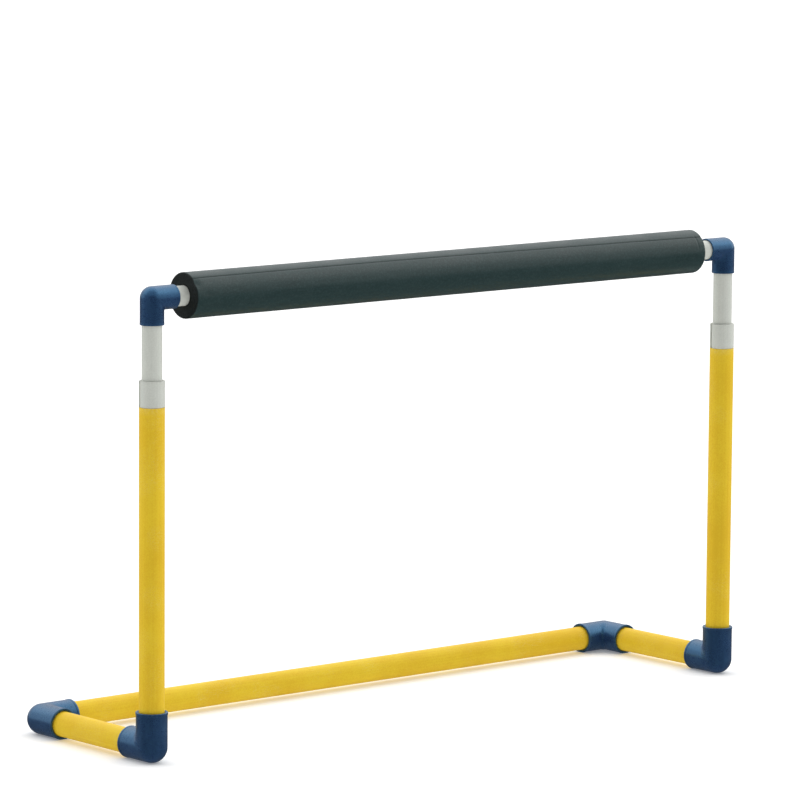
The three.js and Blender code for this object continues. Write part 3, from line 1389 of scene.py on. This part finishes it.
def frame_elbow_form() -> ElbowForm:
    """The floor frame's elbow."""
    return ElbowForm(
        socket=21.4 * MM,
        body=26.0 * MM,
        rim=26.6 * MM,
        passage=16.04 * MM,
        seat=23.8 * MM,
        reach=58.3 * MM,
        lip_length=4.6 * MM,
        lead_in=2.0 * MM,
    )


def top_elbow_form() -> ElbowForm:
    """The smaller elbow that joins a post to the crossbar."""
    return ElbowForm(
        socket=17.0 * MM,
        body=19.8 * MM,
        rim=20.0 * MM,
        passage=12.52 * MM,
        seat=17.2 * MM,
        reach=43.0 * MM,
        lip_length=3.2 * MM,
        lead_in=1.2 * MM,
        fillet=4.0 * MM,
    )


@dataclass
class FloorFrame:
    """The floor frame: the rear tube, two side tubes, four elbows and two uprights."""

    wall: float = 3.56 * MM
    elbow: ElbowForm = field(default_factory=frame_elbow_form)

    def build_tube(self, node: str, run: Direction, material: bpy.types.Material) -> None:
        """Builds one tube of the floor frame in the place of its node."""
        tube_piece(node, run, self.wall, Body.FRAME, material)

    def build_elbow(
        self,
        node: str,
        corner: Array,
        legs: tuple[Direction, Direction],
        material: bpy.types.Material,
    ) -> None:
        """Builds one elbow, with the flat that it stands on.

        Args:
            node: The elbow's node.
            corner: Where its two axes cross.
            legs: The directions of its two legs.
            material: Its material.
        """
        first, second = (leg.vector for leg in legs)
        axes = np.stack([first, second, np.cross(first, second)])
        down = axes @ Direction.DOWN.vector
        skin = Seat(corner, first, second).placed(self.elbow.skin(down, float(corner[2])))
        finished_piece(skin, node, Body.FRAME, material)

    def build(self, yellow: bpy.types.Material, blue: bpy.types.Material) -> None:
        """Builds every piece of the floor frame.

        Args:
            yellow: The tubes' material.
            blue: The elbows' material.
        """
        self.build_tube("rear_base_tube", Direction.RIGHTWARD, yellow)
        rear = NodeBox.of("rear_base_tube").middle
        for side in Side:
            self.build_tube(f"{side.word}_side_tube", Direction.BACK, yellow)
            self.build_tube(f"{side.word}_upright_tube", Direction.UP, yellow)
            upright = NodeBox.of(f"{side.word}_upright_tube").middle
            front_corner = np.array([upright[0], upright[1], rear[2]])
            rear_corner = np.array([upright[0], rear[1], rear[2]])
            front_legs = (Direction.UP, Direction.BACK)
            rear_legs = (Direction.FRONT, Direction.RIGHTWARD)
            if side is Side.RIGHT:
                rear_legs = (Direction.LEFTWARD, Direction.FRONT)
            self.build_elbow(f"{side.word}_front_elbow", front_corner, front_legs, blue)
            self.build_elbow(f"{side.word}_rear_elbow", rear_corner, rear_legs, blue)


@dataclass
class Collars:
    """The two split collars that grip the posts and stand on the uprights."""

    grip: float = 0.3 * MM
    slit: float = 5.5 * MM
    slit_turn: float = 160.0

    def build(self, white: bpy.types.Material) -> None:
        """Builds both collars.

        Args:
            white: Their material.
        """
        for side, body in ((Side.LEFT, Body.LEFT_COLLAR), (Side.RIGHT, Body.RIGHT_COLLAR)):
            node = f"{side.word}_collar"
            box = NodeBox.of(node)
            post = NodeBox.of(f"{side.word}_post")
            form = CollarForm(
                bore=float(post.size[0]) / 2 + self.grip,
                outer=float(box.size[1]) / 2,
                height=float(box.size[2]),
                slit=self.slit,
                slit_turn=self.slit_turn,
            )
            origin = np.array([post.middle[0], post.middle[1], box.low[2]])
            seat = Seat(origin, Direction.RIGHTWARD.vector, Direction.BACK.vector)
            finished_piece(seat.placed(form.skin()), node, body, white)


@dataclass
class PaddedBar:
    """Everything that rises together: posts, plugs, top elbows, crossbar and foam sleeve."""

    wall: float = 3.38 * MM
    fit: float = 0.3 * MM
    plug_wall: float = 3.0 * MM
    plug_flange: float = 5.0 * MM
    elbow: ElbowForm = field(default_factory=top_elbow_form)

    def build_tube(self, node: str, run: Direction, material: bpy.types.Material) -> None:
        """Builds a post or the crossbar in the place of its node."""
        tube_piece(node, run, self.wall, Body.BAR, material)

    def build_plug(self, side: Side, material: bpy.types.Material) -> None:
        """Builds the plug in the foot of one post.

        Args:
            side: The post's side.
            material: Its material.
        """
        node = f"{side.word}_post_foot_plug"
        box = NodeBox.of(node)
        post = NodeBox.of(f"{side.word}_post")
        form = PlugForm(
            flange=float(box.size[0]) / 2,
            stem=float(post.size[0]) / 2 - self.wall - self.fit,
            flange_height=self.plug_flange,
            height=float(box.size[2]),
            wall=self.plug_wall,
        )
        origin = np.array([post.middle[0], post.middle[1], box.low[2]])
        seat = Seat(origin, Direction.RIGHTWARD.vector, Direction.BACK.vector)
        finished_piece(seat.placed(form.skin()), node, Body.BAR, material)

    def build_foam(self, material: bpy.types.Material) -> None:
        """Builds the foam sleeve on the crossbar.

        Args:
            material: Its material.
        """
        box = NodeBox.of("foam_pad")
        bar = NodeBox.of("crossbar_tube")
        outer = float(box.size[2]) / 2
        form = FoamForm(outer=outer, bore=float(bar.size[2]) / 2 + self.fit)
        origin = np.array([box.low[0], box.middle[1], box.middle[2]])
        seat = Seat(origin, Direction.BACK.vector, Direction.UP.vector)
        skin = seat.placed(form.skin(float(box.size[0])))
        piece = finished_piece(skin, "foam_pad", Body.BAR, material)

    def build(
        self,
        white: bpy.types.Material,
        blue: bpy.types.Material,
        black: bpy.types.Material,
        foam: bpy.types.Material,
    ) -> None:
        """Builds every piece that rises.

        Args:
            white: The posts' and the crossbar's material.
            blue: The elbows' material.
            black: The plugs' material.
            foam: The sleeve's material.
        """
        self.build_tube("crossbar_tube", Direction.RIGHTWARD, white)
        bar = NodeBox.of("crossbar_tube").middle
        for side in Side:
            self.build_tube(f"{side.word}_post", Direction.UP, white)
            self.build_plug(side, black)
            node = f"{side.word}_top_elbow"
            post = NodeBox.of(f"{side.word}_post").middle
            inward = Direction.RIGHTWARD if side is Side.LEFT else Direction.LEFTWARD
            corner = np.array([post[0], post[1], bar[2]])
            seat = Seat(corner, Direction.DOWN.vector, inward.vector)
            finished_piece(seat.placed(self.elbow.skin()), node, Body.BAR, blue)
        self.build_foam(foam)


# ------------------------------------------------------------------------------ studio


@dataclass(frozen=True)
class RoomLight:
    """How bright the room is in each direction, seen from the object.

    Onward is level and away from the camera, sideways is level and to its right, and height is
    the sine of the elevation. Each level turns smoothly into the next from a start to an end.
    """

    heading: float = 34.9
    onward_start: float = -0.3
    onward_end: float = 0.05
    top_start: float = 0.41
    top_end: float = 0.56
    side_start: float = 0.3
    side_end: float = 0.9
    horizon: float = 0.05
    under_front: float = 0.04
    under_back: float = 0.13
    low_front: float = 0.03
    low_back: float = 0.87
    top_front: float = 0.58
    top_back: float = 1.73
    right: float = 0.63
    left: float = 0.16
    seen: float = 1.05

    def along(self, graph: Graph, where: Socket, direction: Colour) -> Socket:
        """How far the direction looked in points along another one, from -1 to 1."""
        node = graph.add("ShaderNodeVectorMath", {0: where, 1: direction})
        node.operation = "DOT_PRODUCT"
        return node.outputs["Value"]

    def room(self, graph: Graph) -> Socket:
        """Joins the levels of every direction into one.

        Args:
            graph: The world's nodes.

        Returns:
            The room's brightness in the direction looked in.
        """
        where = graph.add("ShaderNodeTexCoord").outputs["Generated"]
        heading = math.radians(self.heading)
        ahead = (math.sin(heading), math.cos(heading), 0.0)
        onward = self.along(graph, where, ahead)
        sideways = self.along(graph, where, (ahead[1], -ahead[0], 0.0))
        height = self.along(graph, where, Direction.UP.value)
        depth = Span(self.onward_start, self.onward_end)
        under = graph.band(onward, depth, self.under_front, self.under_back)
        low = graph.band(onward, depth, self.low_front, self.low_back)
        top = graph.band(onward, depth, self.top_front, self.top_back)
        upper = graph.sum(
            graph.band(height, Span(self.top_start, self.top_end), low, top),
            graph.band(sideways, Span(self.side_start, self.side_end), 0.0, self.right),
            graph.band(sideways, Span(-self.side_end, -self.side_start), self.left, 0.0),
        )
        return graph.band(height, Span(-self.horizon, self.horizon), under, upper)

    def build(self) -> None:
        """Makes the room: dim before the object, and bright above, behind and beside it.

        The camera sees only plain walls, and the levels light the object.
        """
        world = bpy.data.worlds.new("soft_room")
        bpy.context.scene.world = world
        world.use_nodes = True
        graph = Graph(world.node_tree)
        light, wall = (
            graph.add("ShaderNodeBackground", {"Color": WHITE_LIGHT, "Strength": strength})
            for strength in (self.room(graph), self.seen)
        )
        by_camera = graph.add("ShaderNodeLightPath").outputs["Is Camera Ray"]
        mix = graph.add(
            "ShaderNodeMixShader", {0: by_camera, 1: light.outputs[0], 2: wall.outputs[0]}
        )
        graph.add("ShaderNodeOutputWorld", {"Surface": mix.outputs[0]})
        LOG.info("%s", world.name)


@dataclass(frozen=True)
class FloorSheet:
    """A flat sheet of the studio floor, a hair under the object's feet.

    Either the camera alone meets it, or diffuse and shadow rays alone do. Reflections never do.
    """

    name: str
    paper: StudioPaper
    drop: float
    shown: bool
    half: float = 45.0
    lines: int = 13

    def build(self) -> None:
        """Lays a square grid: x and y in equal steps, and z the drop under the floor's level."""
        side = np.linspace(-self.half, self.half, self.lines)
        x, y = np.meshgrid(side, side)
        points = np.stack([x, y, np.full_like(x, -self.drop)], axis=-1).reshape(-1, 3)
        number = np.arange(len(points)).reshape(len(side), len(side))
        corners = [number[:-1, :-1], number[:-1, 1:], number[1:, 1:], number[1:, :-1]]
        mesh = bpy.data.meshes.new(self.name)
        mesh.from_pydata(points.tolist(), [], np.stack(corners, axis=-1).reshape(-1, 4).tolist())
        mesh.materials.append(self.paper.material())
        sheet = bpy.data.objects.new(self.name, mesh)
        sheet.visible_camera = self.shown
        sheet.visible_diffuse = not self.shown
        sheet.visible_glossy = False
        sheet.visible_shadow = not self.shown
        bpy.context.scene.collection.objects.link(sheet)
        LOG.info("%s", self.name)


@dataclass
class Studio:
    """The camera, the pale floor it sees, the grey card that lights the underside, and the room."""

    camera_place: Colour = (-5.6992, -6.7383, 1.7310)
    heading: float = 40.28
    dip: float = 7.77
    tilt: float = -0.415
    lens: float = 234.34
    far: float = 180.0
    room: RoomLight = field(default_factory=RoomLight)
    floor: FloorSheet = FloorSheet("studio_floor", PALE_PAPER, 0.2 * MM, shown=True)
    card: FloorSheet = FloorSheet("studio_card", GREY_CARD, 0.4 * MM, shown=False)

    def build_camera(self) -> None:
        """Aims the camera by its heading from +Y, its dip under level and its tilt."""
        heading, dip, tilt = (math.radians(a) for a in (self.heading, self.dip, self.tilt))
        flat = math.cos(dip)
        ahead = np.array([math.sin(heading) * flat, math.cos(heading) * flat, -math.sin(dip)])
        level = np.array([math.cos(heading), -math.sin(heading), 0.0])
        under = np.cross(ahead, level)
        right = math.cos(tilt) * level + math.sin(tilt) * under
        down = math.cos(tilt) * under - math.sin(tilt) * level
        turn = Matrix(np.stack([right, -down, -ahead], axis=1).tolist()).to_4x4()
        data = bpy.data.cameras.new("camera")
        data.lens = self.lens
        data.clip_end = self.far
        camera = bpy.data.objects.new("camera", data)
        camera.matrix_world = Matrix.Translation(self.camera_place) @ turn
        bpy.context.scene.collection.objects.link(camera)
        bpy.context.scene.camera = camera
        LOG.info("camera at %s", self.camera_place)

    def build(self) -> None:
        """Builds the camera, the floor and the light, and shows colours as they are."""
        self.build_camera()
        self.floor.build()
        self.card.build()
        self.room.build()
        bpy.context.scene.view_settings.view_transform = "Standard"


def main() -> None:
    """Builds the studio, the materials and every sub-assembly."""
    logging.basicConfig(level=logging.INFO, format="%(name)s: %(message)s")
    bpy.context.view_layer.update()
    Studio().build()
    yellow, white, blue, black, foam = (
        finish.material() for finish in (YELLOW, WHITE, BLUE, BLACK, FOAM)
    )
    FloorFrame().build(yellow, blue)
    Collars().build(white)
    PaddedBar().build(white, blue, black, foam)


if __name__ == "__main__":
    main()
